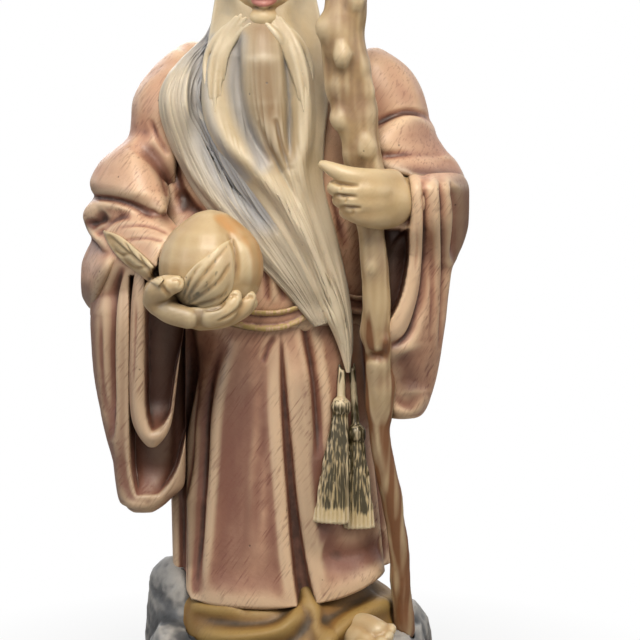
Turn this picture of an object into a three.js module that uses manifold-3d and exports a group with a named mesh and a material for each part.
// A resin figurine: an old sage in a pleated robe who stands on a rock, holds a peach on the right hand
// and grips a gnarled staff with the left. It is cast in sections that plug and glue together.
import * as THREE from "three";
import { mergeVertices } from "three/addons/utils/BufferGeometryUtils.js";
import Module from "manifold-3d";

const wasm = await Module();
wasm.setup();

// Driving dimensions in millimetres. X runs to the viewer's right, -Y to the front, Z up.
// The sage's own right hand is therefore on the -X side. Angles are in degrees from the front towards +X.
const GLUE_GAP = 0.3;

const FELT_THICKNESS = 1.2;
const FELT_INSET = 3;
const BASE_HALF_WIDTH = 38;
const BASE_HALF_DEPTH = 31;
const SEAT_HEIGHT = 17;
const BOULDER_RISE = 10;

const HEM_HEIGHT = 24;
const HEM_SIDE_RISE = 7;
const SKIRT_HEIGHT = 67;
const TORSO_HEIGHT = 70;
const PEG_RADIUS = 7;
const PEG_LENGTH = 8;
const UNDER_ROBE_SINK = 4;
const UNDER_ROBE_TENON = 12;

const BELT_HEIGHT = 5;
const BELT_THICKNESS = 1.6;
const BELT_DROOP = 3;
const COLLAR_WIDTH = 6;
const COLLAR_THICKNESS = 2;
const COLLAR_ROOM = 0.9;

const HEAD_X = -6;
const HEAD_Y = -4;
const HEAD_HALF_WIDTH = 12;
const HEAD_HALF_DEPTH = 13.5;
const HEAD_HEIGHT = 35;
const CHIN_HEIGHT = 4;
const NECK_RADIUS = 7.5;
const NECK_PLUG = 8;

const STAFF_TOP = 205;
const STAFF_SINK = 5;
const PEACH_RADIUS = 12.3;
const PEACH_CLEFT = 1.3;
const LEAF_THICKNESS = 1.2;
const FOOT_LENGTH = 15;
const FOOT_RADIUS = 4.2;
const TASSEL_LENGTH = 40;

// Cross sections from hem to waist: place 0 to 1, half width, half depth, centre x, centre y.
const SKIRT_SECTIONS = [
  [0, 28, 21.2, -2, 0.5],
  [0.3, 27.6, 20.3, -2.8, 0.5],
  [0.65, 27, 18.4, -3.9, 0],
  [1, 25.2, 16, -4.2, 0],
];
// Folds of the skirt: angle at the belt, angle at the hem, half width in degrees, depth at the hem.
const SKIRT_FOLDS = [
  [4, 14, 6, 3.8],
  [-31, -46, 4, 2.2],
  [-55, -68, 5, 3.4],
  [-84, -93, 5, 3.2],
  [19, 22, 4, 1.2],
  [50, 64, 5, 3.2],
  [78, 89, 6, 3.2],
  [112, 108, 6, 3],
  [135, 132, 7, 3.4],
  [158, 159, 6, 2.8],
  [182, 184, 8, 3.6],
  [206, 209, 6, 2.8],
  [230, 236, 7, 3.2],
  [252, 255, 5, 2.6],
];
// Share of the fold depth that is left at the belt.
const FOLD_AT_BELT = 0.25;
// Cross sections of the upper robe from waist to neck.
const TORSO_SECTIONS = [
  [0, 24, 16, -3, 0],
  [0.3, 25.5, 17.5, -3, 0.5],
  [0.55, 27, 17.2, -3.5, 1],
  [0.8, 26, 15.5, -3.5, 1.5],
  [0.93, 24, 12.5, -4, 1.5],
  [1, 14, 10.5, -4.8, 0.5],
];
// Cross sections of the under robe: height from the seat, half width, half depth, centre x, centre y.
const UNDER_ROBE_SECTIONS = [
  [-UNDER_ROBE_SINK, 28.8, 25.6, 0, -1],
  [1, 28.4, 25, -0.2, -1],
  [4.5, 27.4, 23, -0.8, -0.4],
  [HEM_HEIGHT - SEAT_HEIGHT, 20.5, 14.5, -2.4, 0],
  [HEM_HEIGHT - SEAT_HEIGHT + UNDER_ROBE_TENON, 17, 12, -2.5, 0],
];
const UNDER_ROBE_WAVES = 9;
const UNDER_ROBE_WAVE_DEPTH = 0.5;

const TAU = Math.PI * 2;
const radians = THREE.MathUtils.degToRad;
const point = (x, y, z) => new THREE.Vector3(x, y, z);

// Heights that the driving dimensions give.
const waistZ = HEM_HEIGHT + SKIRT_HEIGHT;
const neckZ = waistZ + TORSO_HEIGHT;
const chinZ = neckZ + CHIN_HEIGHT;
const crownZ = chinZ + HEAD_HEIGHT;
const eyeZ = (chinZ + crownZ) / 2;

// Smooth values between the rows of a table whose first column is the place along a form.
function along(table, place) {
  const last = table.length - 1;
  let i = 0;
  while (i < last - 1 && place > table[i + 1][0]) i++;
  const [from, to] = [table[i], table[i + 1]];
  const [before, after] = [table[Math.max(i - 1, 0)], table[Math.min(i + 2, last)]];
  const span = to[0] - from[0];
  const u = THREE.MathUtils.clamp((place - from[0]) / span, 0, 1);
  const [u2, u3] = [u * u, u * u * u];
  return from.slice(1).map((start, k) => {
    const slope = (a, b) => ((b[k + 1] - a[k + 1]) / (b[0] - a[0])) * span;
    const end = to[k + 1];
    const rise = slope(before, to) * (u3 - 2 * u2 + u) + slope(from, after) * (u3 - u2);
    return start * (2 * u3 - 3 * u2 + 1) + end * (3 * u2 - 2 * u3) + rise;
  });
}

// A closed solid from vertices and triangles, turned the right way out.
function solidOf(vertices, triangles) {
  const make = (triVerts) =>
    new wasm.Manifold(new wasm.Mesh({ numProp: 3, vertProperties: vertices, triVerts }));
  const solid = make(triangles);
  return solid.volume() > 0 ? solid : make(Uint32Array.from(triangles).reverse());
}

// A three.js geometry as a solid, with its shared vertices merged.
function solidFrom(geometry) {
  for (const name of ["normal", "uv"]) geometry.deleteAttribute(name);
  const merged = mergeVertices(geometry);
  return solidOf(merged.attributes.position.array, Uint32Array.from(merged.index.array));
}

// A skin through rings of equal point count, closed by a fan at each end or joined end to end.
function loft(rings, { loop = false } = {}) {
  const count = rings[0].length;
  const vertices = rings.flat();
  const triangles = [];
  const spans = loop ? rings.length : rings.length - 1;
  for (let r = 0; r < spans; r++) {
    const [low, high] = [r * count, ((r + 1) % rings.length) * count];
    for (let i = 0; i < count; i++) {
      const j = (i + 1) % count;
      triangles.push(low + i, low + j, high + j, low + i, high + j, high + i);
    }
  }
  if (!loop) {
    const top = (rings.length - 1) * count;
    const [bottomHub, topHub] = [vertices.length, vertices.length + 1];
    for (const ring of [rings[0], rings.at(-1)]) {
      const hub = point(0, 0, 0);
      ring.forEach((p) => hub.addScaledVector(p, 1 / count));
      vertices.push(hub);
    }
    for (let i = 0; i < count; i++) {
      const j = (i + 1) % count;
      triangles.push(bottomHub, j, i, topHub, top + i, top + j);
    }
  }
  return solidOf(Float32Array.from(vertices.flatMap((p) => p.toArray())), Uint32Array.from(triangles));
}

// One ring of an upright column. The shape function gives a groove depth and a rise at each angle.
function columnRing([halfWidth, halfDepth, x, y], z, count, shape, grow = 0) {
  return Array.from({ length: count }, (_, i) => {
    const angle = (i / count) * TAU;
    const { groove = 0, rise = 0 } = shape(angle);
    const [sin, cos] = [Math.sin(angle), Math.cos(angle)];
    return point(
      x + (halfWidth + grow - groove) * sin,
      y - (halfDepth + grow - groove) * cos,
      z + rise,
    );
  });
}

// A round-ended tube along a smooth curve. The widths run along it, and flat squeezes its outer side.
function limb(route, widths, options = {}) {
  const { flat = 1, sides = 8, steps = 8, face = point(0, -1, 0), caps = [60], grow = 0 } = options;
  const curve = new THREE.CatmullRomCurve3(route, false, "centripetal");
  const table = widths.map((w, i) => [i / (widths.length - 1), w]);
  const ringAt = (t, shrink, shift) => {
    const tangent = curve.getTangent(t);
    const out = face.clone().addScaledVector(tangent, -face.dot(tangent)).normalize();
    const across = tangent.clone().cross(out);
    const [width] = along(table, t);
    const centre = curve.getPoint(t).addScaledVector(tangent, shift * (width * flat + grow));
    return Array.from({ length: sides }, (_, i) => {
      const angle = (i / sides) * TAU;
      return centre
        .clone()
        .addScaledVector(across, Math.cos(angle) * (width + grow) * shrink)
        .addScaledVector(out, Math.sin(angle) * (width * flat + grow) * shrink);
    });
  };
  const capAngles = caps.map(radians);
  const start = [...capAngles].reverse().map((a) => ringAt(0, Math.cos(a), -Math.sin(a)));
  const middle = Array.from({ length: steps + 1 }, (_, i) => ringAt(i / steps, 1, 0));
  const end = capAngles.map((a) => ringAt(1, Math.cos(a), Math.sin(a)));
  return loft([...start, ...middle, ...end]);
}

// An ellipsoid with its own turn about X, Y and Z in degrees.
function blob(centre, radii, { turn = [0, 0, 0], sides = 12, grow = 0 } = {}) {
  const geometry = new THREE.SphereGeometry(1, sides, Math.ceil(sides * 0.6));
  geometry.scale(...radii.map((r) => r + grow));
  geometry.rotateX(radians(turn[0])).rotateY(radians(turn[1])).rotateZ(radians(turn[2]));
  return solidFrom(geometry.translate(...centre));
}

const joined = (solids) => solids.reduce((sum, next) => sum.add(next));
const cutBy = (solid, ...cutters) => cutters.reduce((left, cutter) => left.subtract(cutter), solid);

// Rock base and felt

const BASE_SIDES = 24;
// The slab's rim from bottom to top: share of the way up, share of the full width.
const SLAB_RIM = [
  [0, 0.98],
  [0.3, 1],
  [0.65, 0.96],
  [0.88, 0.9],
  [1, 0.8],
];
const SLAB_ROUGHNESS = 1.3;
// Boulders behind the robe: x, y, half width, half depth, share of the boulder rise.
const BOULDERS = [
  [-25.5, 8, 12, 13, 1.5],
  [-9, 18, 13, 10, 1.1],
  [12, 18, 13, 10, 0.9],
  [27, 9, 9.4, 12, 0.4],
  [-29, -9, 7, 9, 0.2],
];
const BOULDER_ROOT = 9;

// A repeatable number from -1 to 1 for each whole number.
const jitter = (n) => 2 * ((Math.abs(Math.sin(n * 12.9898) * 43758.5453) % 1) - 0.5);

function slabForm() {
  const height = SEAT_HEIGHT - FELT_THICKNESS;
  const rings = SLAB_RIM.map(([up, share], row) =>
    columnRing(
      [BASE_HALF_WIDTH * share, BASE_HALF_DEPTH * share, 0, 0],
      FELT_THICKNESS + up * height,
      BASE_SIDES,
      (angle) => {
        const facet = Math.round((angle / TAU) * BASE_SIDES) + row * BASE_SIDES;
        const rough = row === 0 ? 0 : SLAB_ROUGHNESS * (1 + jitter(facet));
        return { groove: rough };
      },
    ),
  );
  return loft(rings);
}

function boulder([x, y, halfWidth, halfDepth, share], index) {
  const geometry = new THREE.IcosahedronGeometry(1, 1);
  geometry.deleteAttribute("normal").deleteAttribute("uv");
  const shell = mergeVertices(geometry);
  const place = shell.attributes.position;
  const halfHeight = (BOULDER_RISE * share + BOULDER_ROOT) / 1.1;
  for (let i = 0; i < place.count; i++) {
    const way = [place.getX(i), place.getY(i), place.getZ(i)];
    const blocky = way.reduce((sum, part) => sum + Math.abs(part) ** 3, 0) ** (-1 / 3);
    const size = blocky * (1 + 0.06 * jitter(i + 97 * index));
    place.setXYZ(
      i,
      x + place.getX(i) * size * halfWidth,
      y + place.getY(i) * size * halfDepth,
      SEAT_HEIGHT - BOULDER_ROOT + place.getZ(i) * size * halfHeight,
    );
  }
  return solidFrom(shell);
}

// Everything below the flat underside of the rock.
function belowRock() {
  const depth = SEAT_HEIGHT * 2;
  const box = new THREE.BoxGeometry(BASE_HALF_WIDTH * 4, BASE_HALF_DEPTH * 4, depth);
  return solidFrom(box.translate(0, 0, FELT_THICKNESS - depth / 2));
}

function feltForm() {
  const section = [BASE_HALF_WIDTH - FELT_INSET, BASE_HALF_DEPTH - FELT_INSET, 0, 0];
  const flat = () => ({});
  return loft([0, FELT_THICKNESS].map((z) => columnRing(section, z, BASE_SIDES, flat)));
}

// Robe column

const SKIRT_SIDES = 80;
const SKIRT_RINGS = 5;
const TORSO_SIDES = 24;
const TORSO_RINGS = 6;

// Angle between two directions, from -180 to 180 degrees.
const turnBetween = (a, b) => ((((a - b) % 360) + 540) % 360) - 180;

// How far the folds sink at an angle and a share of the way from hem to belt.
function foldDepth(angle, share) {
  const degrees = THREE.MathUtils.radToDeg(angle);
  const opening = THREE.MathUtils.lerp(1, FOLD_AT_BELT, share);
  return SKIRT_FOLDS.reduce((sum, [belt, hem, halfWidth, deep]) => {
    const off = Math.abs(turnBetween(degrees, THREE.MathUtils.lerp(hem, belt, share)));
    return sum + deep * opening * Math.exp(-((off / halfWidth) ** 1.5));
  }, 0);
}

function skirtForm(grow = 0) {
  const rings = Array.from({ length: SKIRT_RINGS + 1 }, (_, i) => {
    const share = i / SKIRT_RINGS;
    const ends = i === 0 ? -grow : i === SKIRT_RINGS ? grow : 0;
    const z = HEM_HEIGHT + share * SKIRT_HEIGHT + ends;
    const hang = (angle) => ({
      groove: foldDepth(angle, share),
      rise: HEM_SIDE_RISE * (1 - share) * (Math.cos(angle) < 0 ? 1 : Math.sin(angle) ** 2),
    });
    return columnRing(along(SKIRT_SECTIONS, share), z, SKIRT_SIDES, hang, grow);
  });
  return loft(rings);
}

function torsoForm(grow = 0) {
  const rings = Array.from({ length: TORSO_RINGS + 1 }, (_, i) => {
    const share = i / TORSO_RINGS;
    const z = waistZ + GLUE_GAP + share * (TORSO_HEIGHT - GLUE_GAP) + (i === 0 ? -grow : 0);
    return columnRing(along(TORSO_SECTIONS, share), z, TORSO_SIDES, () => ({}), grow);
  });
  return loft(rings);
}

// The plug under the upper robe, which enters the skirt.
function waistPeg(grow = 0) {
  const [, , x, y] = TORSO_SECTIONS[0].slice(1);
  const round = [PEG_RADIUS, PEG_RADIUS, x, y];
  const ends = [waistZ - PEG_LENGTH - grow, waistZ + PEG_LENGTH];
  return loft(ends.map((z) => columnRing(round, z, 16, () => ({}), grow)));
}

function underRobeForm(grow = 0) {
  const [low, high] = [UNDER_ROBE_SECTIONS[0][0], UNDER_ROBE_SECTIONS.at(-1)[0]];
  const count = 8;
  const rings = Array.from({ length: count + 1 }, (_, i) => {
    const height = low + ((high - low) * i) / count;
    const z = SEAT_HEIGHT + height + (i === 0 ? -grow : 0) + (i === count ? grow : 0);
    const wave = UNDER_ROBE_WAVE_DEPTH * (1 - i / count);
    return columnRing(along(UNDER_ROBE_SECTIONS, height), z, 28, (angle) => ({
      groove: wave * (1 + Math.sin(UNDER_ROBE_WAVES * angle)),
    }), grow);
  });
  return loft(rings);
}

// The socket under the skirt for the tenon of the under robe.
function tenonSocket() {
  const sides = 16;
  const roomy = 1 / Math.cos(Math.PI / sides);
  const [halfWidth, halfDepth, x, y] = UNDER_ROBE_SECTIONS.at(-2).slice(1);
  const section = [halfWidth * roomy, halfDepth * roomy, x, y];
  const ends = [HEM_HEIGHT - HEM_SIDE_RISE, HEM_HEIGHT + UNDER_ROBE_TENON + GLUE_GAP];
  return loft(ends.map((z) => columnRing(section, z, sides, () => ({}), GLUE_GAP)));
}

// A flat band that hugs the upper robe. It is lower by the droop at the given angle.
function band(share, height, thickness, droop, lowest, grow) {
  const rings = Array.from({ length: TORSO_SIDES }, (_, i) => {
    const angle = (i / TORSO_SIDES) * TAU;
    const middle = share * TORSO_HEIGHT + droop * 0.5 * (1 - Math.cos(angle - radians(lowest)));
    const corner = (out, up) => {
      const [halfWidth, halfDepth, x, y] = along(TORSO_SECTIONS, (middle + up) / TORSO_HEIGHT);
      const [wide, deep] = [halfWidth + GLUE_GAP + out, halfDepth + GLUE_GAP + out];
      return point(x + wide * Math.sin(angle), y - deep * Math.cos(angle), waistZ + middle + up);
    };
    const edge = height / 2 + grow;
    return [
      corner(-grow, -edge),
      corner(thickness + grow, -edge),
      corner(thickness + grow, edge),
      corner(-grow, edge),
    ];
  });
  return loft(rings, { loop: true });
}

const beltForm = (grow = 0) => {
  const clearOfSkirt = (BELT_HEIGHT / 2 + 2 * GLUE_GAP) / TORSO_HEIGHT;
  return band(clearOfSkirt, BELT_HEIGHT, BELT_THICKNESS, BELT_DROOP, 8, grow);
};

// The standing collar round the neck, higher behind than in front.
function collarForm(grow = 0) {
  const [x, y] = TORSO_SECTIONS.at(-1).slice(3);
  const sides = 20;
  const rings = Array.from({ length: sides }, (_, i) => {
    const angle = (i / sides) * TAU;
    const top = neckZ + COLLAR_WIDTH * (0.55 - 0.35 * Math.cos(angle)) + grow;
    const corner = (radius, z) => point(x + radius * Math.sin(angle), y - radius * Math.cos(angle), z);
    const inner = NECK_RADIUS + COLLAR_ROOM - grow;
    const outer = NECK_RADIUS + COLLAR_ROOM + COLLAR_THICKNESS + grow;
    const bottom = neckZ - COLLAR_WIDTH / 2;
    return [corner(inner, bottom), corner(outer, bottom), corner(outer - 0.5, top), corner(inner, top)];
  });
  return loft(rings, { loop: true });
}

// Sleeves

// Arm landmarks: x, y and drop below the neck.
const belowNeck = ([x, y, drop]) => point(x, y, neckZ - drop);
const RIGHT_UPPER_ARM = [[-27.5, 1, 14.5], [-31, 0, 25], [-38.5, -2, 33.5], [-42.5, -2, 42]];
const RIGHT_WRIST = [-28, -25, 52];
const LEFT_UPPER_ARM = [[21, 1, 11.8], [25.5, 0, 23], [32, -2, 30.5], [35, -2, 38]];
const LEFT_WRIST = [29, -22, 36.5];
// Swelling of the gathered upper sleeve from shoulder to elbow.
const RIGHT_GATHERS = [11.5, 11.4, 10.2, 9.6, 11, 10.6, 7.8, 9.2, 7.8];
const LEFT_GATHERS = [11.5, 11.6, 10.8, 10.2, 10.8, 10.2, 9.4];
// The loose bag of each sleeve behind the elbow: x, y, drop, then the three radii.
const RIGHT_BAG = [-47.2, 3, 56, 5, 9, 12];
const LEFT_BAG = [38.8, 3, 44, 5.4, 10, 11];
// Hanging sleeve ends: drop below the neck, centre x, centre y, half length, half thickness, turn in degrees.
const RIGHT_DRAPE = [
  [47, -39, -10, 15, 8.5, -54],
  [66, -39.2, -10, 14.4, 8, -51],
  [86, -37.2, -10.5, 12.8, 7.4, -48],
  [106, -35.4, -11.5, 11, 6.6, -47],
  [113.5, -35, -12, 9.8, 5.8, -47],
];
const LEFT_DRAPE = [
  [39, 30, -12, 14, 7.8, -120],
  [56, 29.8, -11.5, 14, 7.4, -120],
  [71, 29.7, -10.5, 12.4, 6.8, -119],
  [83, 29.6, -9.5, 9.8, 5.8, -117],
  [91, 29, -9, 7.4, 4.8, -114],
];
// Front cloth of the right sleeve end: drop, left edge x, right edge x, then y at left, middle and right.
const RIGHT_FRONT = [
  [48.4, -45.5, -36, -15, -20, -21],
  [53.4, -47.7, -31.2, -12, -20, -21.5],
  [58.5, -49.2, -26.5, -9, -19.6, -20],
  [63.6, -49.7, -26.2, -8, -19.2, -19],
  [73.8, -49.2, -26.2, -7, -18.6, -18],
  [86.4, -47.7, -26.2, -7, -18, -17.5],
  [96.6, -45.7, -26.2, -8, -17.6, -17],
  [104.1, -44, -26.5, -9, -17.4, -16],
  [109.2, -43.2, -27.2, -10, -17.4, -15],
  [112.5, -42, -29.5, -12, -17.2, -15],
  [114.5, -39, -32.5, -15, -17, -16],
];
// Lines that run down the front cloth: height, half width, then drop and x.
const RIGHT_FRONT_LINES = [
  [1.2, 2.2, [[50.6, -42.5], [55.1, -45.5], [62.4, -46.7], [72.5, -47.2], [83.8, -46.2], [102, -43.5]]],
  [-2.2, 0.9, [[52.6, -41.7], [58.7, -43.7], [66.2, -44.5], [76.3, -44.5], [86.4, -44], [96.4, -43.5]]],
  [1, 1.4, [[52.6, -40.5], [59.9, -42], [71.2, -42.5], [96.4, -42.5], [105.3, -42.2], [111, -40.7]]],
];
// The opening in that cloth: drop, left x, right x.
const RIGHT_OPENING = [
  [44, -38.5, -20],
  [55, -40.5, -20],
  [86.4, -40.5, -20],
  [96.4, -40.5, -26.5],
  [104, -40.2, -28.7],
  [110, -39, -31.5],
];
const RIGHT_OPENING_FLOOR = -14;
// The inner sleeve rim in the opening, in the columns of the front cloth.
const RIGHT_INNER = [
  [52.7, -38, -26, -21.5, -22.5, -21],
  [60.8, -39, -26, -21.5, -22.8, -21],
  [73.4, -39.4, -27, -21, -22.6, -21],
  [83.4, -39.4, -28.2, -20.6, -22.2, -21],
  [89.7, -39.2, -29.2, -20.6, -22, -21],
  [93.5, -38.2, -30.5, -20.8, -22, -21.2],
  [96.3, -36.7, -32.2, -21.2, -21.8, -21.4],
  [97.8, -35.2, -34, -21.4, -21.6, -21.4],
];
const RIGHT_INNER_OPENING = [
  [44, -36.2, -20],
  [63, -36.4, -25],
  [76, -36.5, -29.5],
  [85, -36.5, -30.7],
  [89, -36, -31.5],
  [93.5, -35, -33],
];
const SHEET_EDGE = 1.6;
const SHEET_SPANS = 20;
const INNER_SPANS = 12;
const OPENING_EDGE = 0.8;
const DRAPE_WALL = 2;
const INNER_WALL = 1.3;
const LEFT_MOUTH_FLOOR = 20;
const DRAPE_PLEATS = 5;
const DRAPE_PLEAT_DEPTH = 1.2;
const LIP_RADIUS = 1.5;

function sleeveForm(upperArm, wristMark, gathers, [bagX, bagY, bagDrop, ...bagRadii], grow = 0) {
  const upper = upperArm.map(belowNeck);
  const [elbow, wrist] = [upper.at(-1), belowNeck(wristMark)];
  return joined([
    limb(upper, gathers, { sides: 10, steps: gathers.length + 1, caps: [35, 65], grow }),
    limb([elbow, elbow.clone().lerp(wrist, 0.5), wrist], [9.5, 8.5, 7], {
      sides: 8,
      steps: 3,
      face: point(0, 0, 1),
      grow,
    }),
    blob([bagX, bagY, neckZ - bagDrop], bagRadii, { sides: 9, grow }),
  ]);
}

const rightSleeveForm = (grow) => sleeveForm(RIGHT_UPPER_ARM, RIGHT_WRIST, RIGHT_GATHERS, RIGHT_BAG, grow);
const leftSleeveForm = (grow) => sleeveForm(LEFT_UPPER_ARM, LEFT_WRIST, LEFT_GATHERS, LEFT_BAG, grow);

// A hanging sleeve end. It can be shortened from below, thinned and slid towards its open end.
function drapeForm(sections, { floor = 0, thin = 0, slide = 0, raise = 0, pleats = 0, grow = 0 } = {}) {
  const [top, bottom] = [sections[0][0], sections.at(-1)[0]];
  const count = 6;
  const sides = 16;
  const rings = Array.from({ length: count + 1 }, (_, i) => {
    const drop = THREE.MathUtils.lerp(bottom - floor, top - raise, i / count);
    const [x, y, halfLength, halfThick, turn] = along(sections, drop);
    const ends = i === 0 ? -grow : i === count ? grow : 0;
    const soften = i === 0 ? 0.86 : 1;
    const direction = point(Math.cos(radians(turn)), Math.sin(radians(turn)), 0);
    const side = point(-direction.y, direction.x, 0);
    const centre = point(x, y, neckZ - drop + ends).addScaledVector(direction, slide * halfLength);
    return Array.from({ length: sides }, (_, k) => {
      const angle = (k / sides) * TAU;
      const ripple = pleats * (0.5 - 0.5 * Math.cos(DRAPE_PLEATS * angle));
      const long = (halfLength - thin + grow - ripple) * soften;
      const thick = (halfThick - thin + grow - ripple) * soften;
      return centre
        .clone()
        .addScaledVector(direction, long * Math.cos(angle))
        .addScaledVector(side, thick * Math.sin(angle));
    });
  });
  return loft(rings);
}

// A sheet of cloth with a bowed front, rounded edges and raised or sunk lines, closed behind at one depth.
function sheetForm(rows, lines, back, { spans = SHEET_SPANS, grow = 0 } = {}) {
  const { lerp } = THREE.MathUtils;
  const steps = rows.length + 2;
  const rings = Array.from({ length: steps + 1 }, (_, i) => {
    const drop = lerp(rows[0][0], rows.at(-1)[0], i / steps);
    const [left, right, yLeft, yMiddle, yRight] = along(rows, drop);
    const ends = i === 0 ? grow : i === steps ? -grow : 0;
    const front = (u) => {
      const x = lerp(left - grow, right + grow, u);
      const bow = yLeft * 2 * (u - 0.5) * (u - 1) + yMiddle * 4 * u * (1 - u) + yRight * 2 * u * (u - 0.5);
      const inward = Math.min(1, (Math.min(u, 1 - u) * (right - left)) / SHEET_EDGE);
      const rounded = SHEET_EDGE * (1 - Math.sqrt(1 - (1 - inward) ** 2));
      const raised = lines.reduce((sum, [height, halfWidth, line]) => {
        const [middle] = along(line, drop);
        return sum + height * Math.exp(-(((x - middle) / halfWidth) ** 2));
      }, 0);
      return point(x, bow + rounded - raised - grow, neckZ - drop + ends);
    };
    const behind = (u) => {
      const edge = front(u);
      return edge.setY(Math.max(edge.y + 1, back + grow));
    };
    return [
      ...Array.from({ length: spans + 1 }, (_, k) => front(k / spans)),
      ...Array.from({ length: 5 }, (_, k) => behind(1 - k / 4)),
    ];
  });
  return loft(rings);
}

// What is cut out of a sheet between two lines, down to a flat floor.
function openingForm(rows, floor) {
  const outside = floor - 40;
  const rings = rows.map(([drop, left, right]) => {
    const z = neckZ - drop;
    return [
      point(left, outside, z),
      point(left, floor - OPENING_EDGE, z),
      point(left + OPENING_EDGE, floor, z),
      point(right - OPENING_EDGE, floor, z),
      point(right, floor - OPENING_EDGE, z),
      point(right, outside, z),
    ];
  });
  return loft(rings);
}

const RIGHT_FRONT_BACK = -4;
const rightDrapeShell = (grow) =>
  drapeForm(RIGHT_DRAPE, { grow }).add(sheetForm(RIGHT_FRONT, RIGHT_FRONT_LINES, RIGHT_FRONT_BACK, { grow }));
const leftDrapeShell = (grow) => drapeForm(LEFT_DRAPE, { pleats: DRAPE_PLEAT_DEPTH, grow });
const rightOpening = () => openingForm(RIGHT_OPENING, RIGHT_OPENING_FLOOR);
const rightInnerShell = () =>
  sheetForm(RIGHT_INNER, [], RIGHT_OPENING_FLOOR - GLUE_GAP, { spans: INNER_SPANS });
const rightInnerOpening = () =>
  openingForm(RIGHT_INNER_OPENING, RIGHT_OPENING_FLOOR - GLUE_GAP - INNER_WALL);
const leftMouth = () =>
  drapeForm(LEFT_DRAPE, { floor: LEFT_MOUTH_FLOOR, thin: DRAPE_WALL, slide: 0.5, raise: 12 });

// The rolled edge of the left sleeve opening, which ends in a curl.
function leftLip() {
  // Drop below the neck, share of the half length, share of the half thickness.
  const rim = [
    [42, 0.66, 0.72],
    [52, 0.68, 0.72],
    [61, 0.7, 0.7],
    [67.5, 0.82, 0.56],
    [70.5, 0.94, 0.2],
    [70.5, 0.94, -0.25],
  ];
  const route = rim.map(([drop, endwise, sidewise]) => {
    const [x, y, halfLength, halfThick, turn] = along(LEFT_DRAPE, drop);
    const direction = point(Math.cos(radians(turn)), Math.sin(radians(turn)), 0);
    const side = point(-direction.y, direction.x, 0);
    return belowNeck([x, y, drop])
      .addScaledVector(direction, endwise * halfLength)
      .addScaledVector(side, sidewise * halfThick);
  });
  return limb(route, [1.1, 1, 1, 1, 0.9, 0.8].map((w) => w * LIP_RADIUS), {
    sides: 6,
    steps: 10,
    face: point(0.6, -0.8, 0.1),
  });
}

// Hands

// Fingers of the hand under the peach, from the palm to the tip: x, y and drop for each bend.
const RIGHT_FINGERS = [
  [[-24, -38.5, 63], [-15, -41.5, 63.5], [-8.5, -41, 57.5]],
  [[-24, -35, 65], [-14, -37.5, 65.5], [-6.8, -37, 58]],
  [[-24, -31, 65.5], [-14, -33, 66], [-7, -32.5, 58.5]],
  [[-24, -27.5, 65], [-15, -28.5, 65.5], [-9, -28, 58.5]],
];
const RIGHT_THUMB = [[-31, -29, 59], [-33, -36, 58.5], [-28.5, -43, 55.5]];
const FINGER_RADIUS = 2.7;
const LEFT_FINGERS = [
  [[27, -26, 33], [19.5, -30, 32], [13.5, -28, 33], [13.6, -23.5, 33.5]],
  [[27, -27, 36.5], [19, -30.5, 36], [12.8, -28, 37], [13.2, -23.5, 37.5]],
  [[27, -26.5, 40], [19.5, -30, 40], [13.6, -27.6, 41], [14, -23.2, 41.4]],
  [[27, -25.5, 43], [20.5, -28.6, 43.6], [15.4, -26.6, 44.4], [15.6, -22.8, 44.6]],
];
const LEFT_THUMB = [[26, -25, 30], [18, -28.5, 27.6], [8.4, -28.5, 28.6]];

function rightHandForm(grow = 0) {
  const wrist = belowNeck(RIGHT_WRIST);
  const palmCentre = wrist.clone().add(point(3, -8.5, -8.5));
  const arm = limb(
    [wrist.clone().add(point(-7, 9, 2)), wrist, palmCentre],
    [4.6, 4.6, 5],
    { sides: 8, steps: 3, face: point(0, 0, 1), grow },
  );
  const palm = blob(palmCentre.toArray(), [9, 9, 6], { sides: 9, grow });
  const fingers = RIGHT_FINGERS.map((bends) =>
    limb(bends.map(belowNeck), [1.15, 1, 0.75].map((w) => w * FINGER_RADIUS), { sides: 6, steps: 3, grow }),
  );
  const thumb = limb(RIGHT_THUMB.map(belowNeck), [1.7, 1.45, 0.95].map((w) => w * FINGER_RADIUS), {
    steps: 4,
    face: point(0, 0, 1),
    grow,
  });
  return joined([arm, palm, thumb, ...fingers]);
}

function leftHandForm(grow = 0) {
  const wrist = belowNeck(LEFT_WRIST);
  const palmCentre = wrist.clone().add(point(-4, -2.5, 0));
  const arm = limb(
    [wrist.clone().add(point(4.5, 10, -0.5)), wrist, palmCentre],
    [4.6, 4.6, 5],
    { sides: 8, steps: 3, face: point(0, 0, 1), grow },
  );
  const palm = blob(palmCentre.toArray(), [6.5, 5.5, 8], { sides: 9, grow });
  const fingers = LEFT_FINGERS.map((bends) =>
    limb(bends.map(belowNeck), [1, 0.85, 0.75, 0.55].map((w) => w * FINGER_RADIUS), {
      sides: 6,
      steps: 3,
      face: point(0, 0, 1),
      grow,
    }),
  );
  const thumb = limb(LEFT_THUMB.map(belowNeck), [1.3, 0.95, 0.5].map((w) => w * FINGER_RADIUS), {
    sides: 6,
    steps: 4,
    grow,
  });
  return joined([arm, palm, thumb, ...fingers]);
}

// Peach and leaves

const PEACH_CENTRE = [-18.2, -33, 51.5];
const LEAF_FRONT_STALK = [-27, -43, 60];
const LEAF_FRONT_TIP = [-13.4, -44, 44.5];
const LEAF_SIDE_STALK = [-30, -38, 56];
const LEAF_SIDE_TIP = [-43.5, -19, 42];

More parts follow.
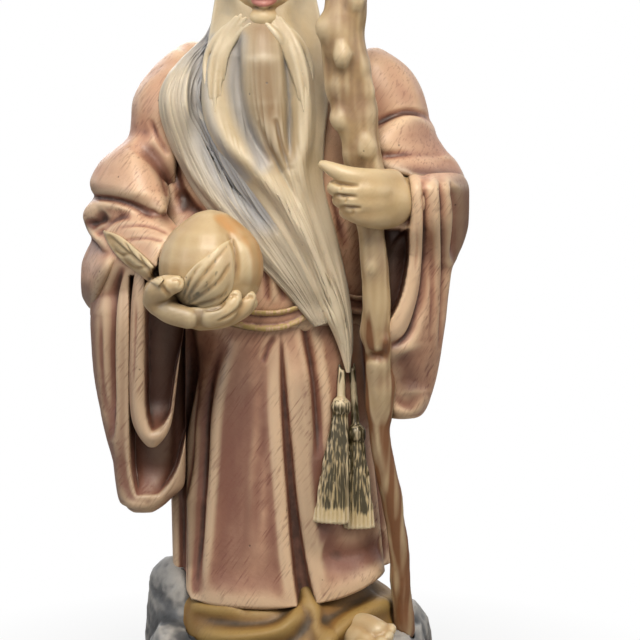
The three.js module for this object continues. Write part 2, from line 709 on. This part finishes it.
// A round fruit with a cleft down its front and a small point on top.
function peachForm(grow = 0, sides = 18) {
  const geometry = new THREE.SphereGeometry(1, sides, Math.ceil(sides * 0.6));
  const place = geometry.attributes.position;
  const cleftAt = radians(28);
  for (let i = 0; i < place.count; i++) {
    const way = point(place.getX(i), place.getZ(i), place.getY(i)).normalize();
    const around = Math.atan2(way.x, -way.y);
    const level = Math.sqrt(Math.max(0, 1 - way.z * way.z));
    const cleft = PEACH_CLEFT * Math.exp(-(((around - cleftAt) / 0.2) ** 2)) * level;
    const tip = 1.2 * Math.exp(-(((1 - way.z) / 0.06) ** 2));
    const radius = PEACH_RADIUS * (1 - 0.03 * way.z) - cleft + tip + grow;
    place.setXYZ(i, way.x * radius, way.y * radius, way.z * radius);
  }
  const centre = belowNeck(PEACH_CENTRE);
  return solidFrom(geometry.translate(...centre.toArray()));
}

// A pointed leaf between two points, bowed away from the given centre.
function leafForm(stalk, tip, halfWidth, bow, out) {
  const [from, to] = [belowNeck(stalk), belowNeck(tip)];
  const length = to.clone().sub(from);
  const across = length.clone().cross(out).normalize();
  const up = across.clone().cross(length).normalize();
  const outline = [0.16, 0.5, 0.86, 1, 0.92, 0.66, 0.3, 0.06];
  const rings = outline.map((share, i) => {
    const t = i / (outline.length - 1);
    const centre = from.clone().addScaledVector(length, t).addScaledVector(up, bow * Math.sin(Math.PI * t));
    const half = halfWidth * share;
    const corner = (side, lift) =>
      centre.clone().addScaledVector(across, side * half).addScaledVector(up, lift * LEAF_THICKNESS);
    return [
      corner(-1, 0.25), corner(-0.5, 0.5), corner(0, 0.72), corner(0.5, 0.5), corner(1, 0.25),
      corner(0.6, -0.4), corner(-0.6, -0.4),
    ];
  });
  return loft(rings);
}

const frontLeafForm = () => leafForm(LEAF_FRONT_STALK, LEAF_FRONT_TIP, 5.6, 3.2, point(0.1, -1, 0.1));
const sideLeafForm = () => leafForm(LEAF_SIDE_STALK, LEAF_SIDE_TIP, 3, 2.2, point(-0.5, -0.7, 0.6));

// Staff

// Bends of the staff from the top down: x, y, drop below the neck, radius.
const STAFF_BENDS = [
  [14.4, -19, -20, 4.4],
  [13.6, -21, -10, 4.8],
  [13.4, -21.5, 1, 5],
  [15.2, -21.5, 13, 4.9],
  [17.4, -21, 25, 4.7],
  [19, -22, 36, 3.6],
  [20.2, -22.5, 47, 3],
  [21.2, -22, 62, 3.1],
  [21.6, -19.5, 79, 2.7],
  [21.5, -17, 91, 2.4],
  [24.2, -15, 105.5, 2.4],
  [26.9, -12, 122.5, 2.2],
  [27.7, -10, 134, 2.2],
  [28, -9, 140, 2.4],
];
// Knots on the upper staff: place down the bends, turn in degrees, size.
const STAFF_KNOTS = [
  [0.25, -50, 2.6],
  [0.9, 30, 2.8],
  [1.5, -80, 2.5],
  [2.1, -10, 2.9],
  [2.8, 60, 2.4],
  [3.3, -60, 2.8],
  [3.9, 15, 2.6],
  [6.4, -20, 1.6],
  [7.5, 40, 1.6],
];

function staffForm(grow = 0) {
  const bends = STAFF_BENDS.map(([x, y, drop]) => belowNeck([x, y, drop]));
  const widths = STAFF_BENDS.map((row) => row[3]);
  const top = point(14.8, -18, STAFF_TOP - widths[0]);
  const foot = bends.at(-1).clone().setZ(SEAT_HEIGHT - STAFF_SINK + widths.at(-1)).add(point(0.6, 0.6, 0));
  const route = [top, ...bends, foot];
  const shaft = limb(route, [4, ...widths, widths.at(-1)], { sides: 8, steps: 20, grow });
  const curve = new THREE.CatmullRomCurve3(bends, false, "centripetal");
  const knots = STAFF_KNOTS.map(([place, turn, size]) => {
    const t = place / (bends.length - 1);
    const [radius] = along(STAFF_BENDS.map((row, i) => [i, row[3]]), place);
    const out = point(Math.sin(radians(turn)), -Math.cos(radians(turn)), 0);
    const centre = curve.getPoint(t).addScaledVector(out, radius - size * 0.45);
    return blob(centre.toArray(), [size, size, size * 1.5], { sides: 6, grow });
  });
  return joined([shaft, ...knots]);
}

// Head

function headForm(grow = 0) {
  const at = (x, y, z) => [HEAD_X + x, HEAD_Y + y, z];
  const skullHeight = (crownZ - chinZ) * 0.43;
  const faceHeight = (crownZ - chinZ) * 0.29;
  const skullRadii = [HEAD_HALF_WIDTH, HEAD_HALF_DEPTH, skullHeight];
  const faceRadii = [HEAD_HALF_WIDTH * 0.82, HEAD_HALF_DEPTH * 0.76, faceHeight];
  const browRadii = [HEAD_HALF_WIDTH * 0.8, HEAD_HALF_DEPTH * 0.6, HEAD_HEIGHT * 0.243];
  const neckHead = point(...at(0, 3, chinZ + HEAD_HEIGHT / 7));
  const neckFoot = point(TORSO_SECTIONS.at(-1)[3], TORSO_SECTIONS.at(-1)[4], neckZ - NECK_PLUG + NECK_RADIUS);
  const noseTop = point(...at(0, -12.4, eyeZ + 1));
  const noseTip = point(...at(0, -15, eyeZ - 6.8));
  const forms = [
    blob(at(0, 1, crownZ - skullHeight), skullRadii, { sides: 12, grow }),
    blob(at(0, -3, chinZ + faceHeight), faceRadii, { sides: 10, grow }),
    blob(at(0, -5, eyeZ + 8), browRadii, { sides: 8, grow }),
    limb([neckHead, neckFoot], [NECK_RADIUS, NECK_RADIUS], { sides: 12, steps: 1, grow }),
    limb([noseTop, noseTip], [1.3, 2.3], { sides: 6, steps: 2, grow }),
  ];
  for (const side of [-1, 1]) {
    const ear = [[11.2, 2, 3.5], [12, 2, -2], [11, 1, -10]];
    forms.push(
      limb(ear.map(([x, y, up]) => point(...at(side * x, y, eyeZ + up))), [2, 2.9, 1.6], {
        flat: 0.6,
        sides: 7,
        steps: 4,
        face: point(side, 0, 0),
        grow,
      }),
    );
  }
  return joined(forms);
}

// Beard, moustache and hair

// Edges of the beard and of the lock over the right shoulder, from jaw to tip: x, drop below the neck.
const BEARD_LEFT = [
  [-15, -10], [-20.6, 4], [-20.4, 15], [-16.2, 26], [-8.8, 36],
  [-1.6, 47], [5.7, 60], [10.7, 70.5], [13, 79],
];
const BEARD_RIGHT = [
  [4.6, -8], [8.8, 3], [9.8, 12.5], [8.6, 23.5], [8.6, 34],
  [11.8, 47], [14.6, 60], [15.8, 70.5], [15.4, 79],
];
const LOCK_LEFT = [
  [-18, -9], [-20.8, -2.5], [-27.6, 4.5], [-31.6, 12], [-30, 22],
  [-23.5, 35], [-13.5, 47], [-3.5, 57], [6, 68],
];
const LOCK_RIGHT = [
  [-16, -11], [-17.6, -3], [-21.4, 4], [-21.2, 15], [-17, 26.4],
  [-9.6, 36.4], [-2.4, 47.4], [4.9, 60.4], [8, 67],
];
// Thickness down the beard and down the lock, and the count of carved strands across each.
const BEARD_THICKNESS = [4.5, 5.5, 5.5, 5, 4.6, 4, 3.4, 2.8, 2];
const LOCK_THICKNESS = [3, 3, 3, 3, 3, 3, 2.8, 2.4, 1.6];
const BEARD_RIDGES = 6;
const LOCK_RIDGES = 3;
const RIDGE_DEPTH = 1.1;
const BEARD_REST = -14;
const SHEET_GAP = 0.55;
const MOUSTACHE_SIDES = [
  [[-7, -12, 1.5], [-12.6, -10.5, 2.2], [-15.4, -3.5, 2.4], [-15.2, 6.5, 2], [-12.8, 15, 0.9]],
  [[-6.6, -12, 1.5], [-0.8, -10.5, 2.2], [2.6, -2.5, 2.4], [4.8, 6.5, 1]],
];
const STRAND_FLAT = 0.8;

function meshOf(solid) {
  const { vertProperties, triVerts } = solid.getMesh();
  const geometry = new THREE.BufferGeometry();
  geometry.setAttribute("position", new THREE.BufferAttribute(Float32Array.from(vertProperties), 3));
  geometry.setIndex(new THREE.BufferAttribute(Uint32Array.from(triVerts), 1));
  geometry.computeVertexNormals();
  return new THREE.Mesh(geometry, new THREE.MeshStandardMaterial({ side: THREE.DoubleSide }));
}

// The first surface met from the front at a given x and z.
function frontFinder(solids) {
  const meshes = solids.map(meshOf);
  const ray = new THREE.Raycaster();
  return (x, z) => {
    ray.set(point(x, -200, z), point(0, 1, 0));
    const hits = ray.intersectObjects(meshes);
    return hits.length ? hits[0].point.y : 0;
  };
}

// A table whose places are spread evenly.
const spread = (rows) => rows.map((row, i) => [i / (rows.length - 1), ...[row].flat()]);

// A sheet of hair laid on the forms behind it, with carved strands along its front.
function hairSheet({ left, right, thickness, ridges, rest, frontAt, grow = 0 }) {
  const [leftEdge, rightEdge, thick] = [left, right, thickness].map(spread);
  const steps = left.length + 2;
  const [frontSpans, backSpans] = [ridges * 2, Math.max(3, ridges - 1)];
  const rings = Array.from({ length: steps + 1 }, (_, i) => {
    const t = i / steps;
    const [from, to] = [along(leftEdge, t), along(rightEdge, t)];
    const [deep] = along(thick, t);
    const ends = i === 0 ? grow : i === steps ? -grow : 0;
    const across = (u, front) => {
      const x = THREE.MathUtils.lerp(from[0] - grow, to[0] + grow, u);
      const z = neckZ - THREE.MathUtils.lerp(from[1], to[1], u);
      const behind = frontAt(x, z);
      if (!front) return point(x, behind - SHEET_GAP + grow, z + ends);
      const crown = 0.35 + 0.65 * Math.sqrt(1 - (2 * u - 1) ** 2);
      const carved = RIDGE_DEPTH * Math.cos(Math.PI * ridges * u) ** 2 * Math.min(1, deep / 3);
      const skin = Math.min(behind, rest) - SHEET_GAP - deep * crown;
      return point(x, skin + carved * (crown - 0.35) - grow, z + ends);
    };
    return [
      ...Array.from({ length: frontSpans + 1 }, (_, k) => across(k / frontSpans, true)),
      ...Array.from({ length: backSpans + 1 }, (_, k) => across(1 - k / backSpans, false)),
    ];
  });
  return loft(rings);
}

// One strand laid on the forms behind it, sunk by a share of its own radius.
function strand(rows, frontAt, sink, { flat = STRAND_FLAT, grow = 0 } = {}) {
  const met = rows.map(([x, drop]) => frontAt(x, neckZ - drop));
  const eased = met.map((y, i) => {
    const [before, after] = [met[Math.max(i - 1, 0)], met[Math.min(i + 1, met.length - 1)]];
    return Math.min(y, (before + 2 * y + after) / 4);
  });
  const route = rows.map(([x, drop, radius], i) => point(x, eased[i] + sink * radius, neckZ - drop));
  return limb(route, rows.map((row) => row[2]), {
    flat,
    sides: 6,
    steps: rows.length,
    grow,
  });
}

// Tassels

const TASSEL_TOP = 8;
// Each tassel: x at the cord, x at the knot, x at the end, knot drop, end drop, half width at the end.
const TASSELS = [
  [12.9, 12.6, 10.3, 10, TASSEL_LENGTH - 2, 3.6],
  [15.2, 16.4, 17, 17, TASSEL_LENGTH, 3.2],
];

function tasselForm([cordX, knotX, endX, knotDrop, endDrop, halfWidth], frontAt) {
  const top = waistZ - TASSEL_TOP;
  const place = (x, drop, lift) => point(x, frontAt(x, top - drop) - lift, top - drop);
  const knot = place(knotX, knotDrop, 1.6);
  const cordMiddle = place((cordX + knotX) / 2, knotDrop / 2, 1);
  const cord = limb([place(cordX, 0, 1), cordMiddle, knot], [0.9, 0.9, 1.1], { sides: 5, steps: 3 });
  const fringe = limb(
    [knot, place((knotX + endX) / 2, (knotDrop + endDrop) / 2, 2), place(endX, endDrop, 2.2)],
    [1.6, halfWidth * 0.85, halfWidth],
    { flat: 0.55, sides: 8, steps: 4, caps: [] },
  );
  return joined([cord, blob(knot.toArray(), [2.5, 2.1, 2.6], { sides: 7 }), fringe]);
}

// Foot

// Where the foot shows under the robe: x at the heel, x at the toe, y at the toe.
const LEFT_FOOT = [13.5, 22, -28];

function footForm([heelX, toeX, toeY], grow = 0) {
  const z = SEAT_HEIGHT + FOOT_RADIUS * 0.35;
  const heel = point(heelX, toeY + FOOT_LENGTH, z + 1.5);
  const toe = point(toeX, toeY + FOOT_RADIUS, z);
  const instep = heel.clone().lerp(toe, 0.5).add(point(0, 0, 0.8));
  const widths = [1, 1.05, 0.95].map((share) => share * FOOT_RADIUS);
  return limb([heel, instep, toe], widths, {
    sides: 10,
    steps: 3,
    face: point(0, 0, 1),
    grow,
  });
}

// Assembly: each piece gives way to the pieces it is glued to by the glue line.

const largest = (solid) =>
  solid.decompose().reduce((best, next) => (next.volume() > best.volume() ? next : best));

const forms = {};
for (const [name, form] of Object.entries({
  under: underRobeForm,
  skirt: skirtForm,
  torso: torsoForm,
  belt: beltForm,
  collar: collarForm,
  head: headForm,
  rightSleeve: rightSleeveForm,
  leftSleeve: leftSleeveForm,
  rightHand: rightHandForm,
  leftHand: leftHandForm,
  staff: staffForm,
  peg: waistPeg,
  leftFoot: (grow) => footForm(LEFT_FOOT, grow),
})) {
  forms[name] = form(0);
  forms[`${name}Clear`] = form(GLUE_GAP);
}

forms.peach = peachForm();
forms.peachClear = peachForm(GLUE_GAP * 2.5, 12);

const bodyFront = frontFinder([
  forms.torso,
  forms.skirt,
  forms.rightSleeve,
  forms.leftSleeve,
  forms.head,
  forms.belt,
  forms.collar,
]);
const skirtFront = frontFinder([forms.skirt]);

const beardForm = (grow) =>
  hairSheet({
    left: BEARD_LEFT,
    right: BEARD_RIGHT,
    thickness: BEARD_THICKNESS,
    ridges: BEARD_RIDGES,
    rest: BEARD_REST,
    frontAt: bodyFront,
    grow,
  });
const lockForm = (grow) =>
  hairSheet({
    left: LOCK_LEFT,
    right: LOCK_RIGHT,
    thickness: LOCK_THICKNESS,
    ridges: LOCK_RIDGES,
    rest: 0,
    frontAt: bodyFront,
    grow,
  });
forms.beard = beardForm(0);
forms.beardClear = beardForm(GLUE_GAP);
const moustacheFront = frontFinder([forms.head, forms.beard]);
const moustacheRaw = joined(MOUSTACHE_SIDES.map((rows) => strand(rows, moustacheFront, -0.35)));

const solids = {
  base_felt: feltForm(),
  base_rock: cutBy(
    joined([slabForm(), ...BOULDERS.map(boulder)]),
    belowRock(),
    forms.underClear,
    forms.leftFootClear,
    forms.staffClear,
  ),
  under_robe: cutBy(forms.under, forms.staffClear),
  left_foot: cutBy(forms.leftFoot, forms.underClear, forms.skirtClear),
  robe_skirt: cutBy(forms.skirt, tenonSocket(), forms.underClear, forms.pegClear),
  robe_torso: cutBy(forms.torso.add(forms.peg), forms.headClear),
  belt_sash: forms.belt,
  robe_collar: cutBy(
    forms.collar,
    forms.torsoClear,
    forms.headClear,
    forms.rightSleeveClear,
    forms.leftSleeveClear,
  ),
  right_sleeve: cutBy(forms.rightSleeve, forms.torsoClear, forms.rightHandClear, forms.peachClear),
  right_sleeve_drape: cutBy(
    rightDrapeShell(0),
    rightOpening(),
    forms.rightSleeveClear,
    forms.torsoClear,
    forms.beltClear,
    forms.skirtClear,
    forms.rightHandClear,
    forms.peachClear,
  ),
  right_inner_sleeve: cutBy(
    rightInnerShell(),
    rightInnerOpening(),
    forms.rightSleeveClear,
    forms.torsoClear,
    forms.beltClear,
    forms.skirtClear,
    forms.rightHandClear,
    forms.peachClear,
  ),
  left_sleeve: cutBy(forms.leftSleeve, forms.torsoClear, forms.leftHandClear),
  left_sleeve_drape: cutBy(
    cutBy(leftDrapeShell(0), leftMouth()).add(leftLip()),
    forms.leftSleeveClear,
    forms.torsoClear,
    forms.skirtClear,
    forms.leftHandClear,
    forms.staffClear,
  ),
  right_hand: cutBy(forms.rightHand, forms.peachClear),
  peach: forms.peach,
  peach_leaf_front: cutBy(frontLeafForm(), forms.peachClear, forms.rightHandClear),
  peach_leaf_side: cutBy(
    sideLeafForm(),
    forms.peachClear,
    forms.rightHandClear,
    forms.rightSleeveClear,
    rightDrapeShell(GLUE_GAP),
  ),
  left_hand: cutBy(forms.leftHand, forms.staffClear),
  staff: forms.staff,
  head: forms.head,
  beard: cutBy(
    forms.beard,
    forms.torsoClear,
    forms.beltClear,
    forms.collarClear,
    forms.skirtClear,
    forms.headClear,
    forms.staffClear,
    forms.leftHandClear,
    forms.rightSleeveClear,
    forms.leftSleeveClear,
  ),
  side_hair: cutBy(
    lockForm(0),
    forms.beardClear,
    forms.torsoClear,
    forms.beltClear,
    forms.collarClear,
    forms.skirtClear,
    forms.headClear,
    forms.rightSleeveClear,
    forms.peachClear,
    forms.rightHandClear,
  ),
  moustache: cutBy(moustacheRaw, forms.headClear, forms.beardClear),
  tassel_left: cutBy(tasselForm(TASSELS[0], skirtFront), forms.skirtClear, forms.beardClear),
  tassel_right: cutBy(tasselForm(TASSELS[1], skirtFront), forms.skirtClear, forms.beardClear),
};

// Nodes with their look: colour, roughness.
const IVORY = [0xdcc9a2, 0.42];
const HAIR = [0xd3c7ac, 0.5];
const ROBE = [0xc49b82, 0.5];
const OCHRE = [0xa98a4e, 0.5];
const STONE = [0x6d7073, 0.7];
const WOOD = [0xa48a66, 0.55];
const GOLD = [0xb49a5c, 0.45];
const FELT = [0x2e3a30, 0.95];
const LOOKS = {
  base_felt: FELT,
  base_rock: STONE,
  under_robe: OCHRE,
  left_foot: IVORY,
  robe_skirt: ROBE,
  robe_torso: ROBE,
  belt_sash: GOLD,
  robe_collar: ROBE,
  right_sleeve: ROBE,
  right_sleeve_drape: ROBE,
  right_inner_sleeve: ROBE,
  left_sleeve: ROBE,
  left_sleeve_drape: ROBE,
  right_hand: IVORY,
  peach: IVORY,
  peach_leaf_front: IVORY,
  peach_leaf_side: IVORY,
  left_hand: IVORY,
  staff: WOOD,
  head: IVORY,
  beard: HAIR,
  side_hair: HAIR,
  moustache: HAIR,
  tassel_left: GOLD,
  tassel_right: GOLD,
};

const figurine = new THREE.Group();
for (const [name, solid] of Object.entries(solids)) {
  const [color, roughness] = LOOKS[name];
  const mesh = meshOf(largest(solid));
  mesh.name = name;
  mesh.material = new THREE.MeshStandardMaterial({ color, roughness });
  figurine.add(mesh);
}

export default figurine;
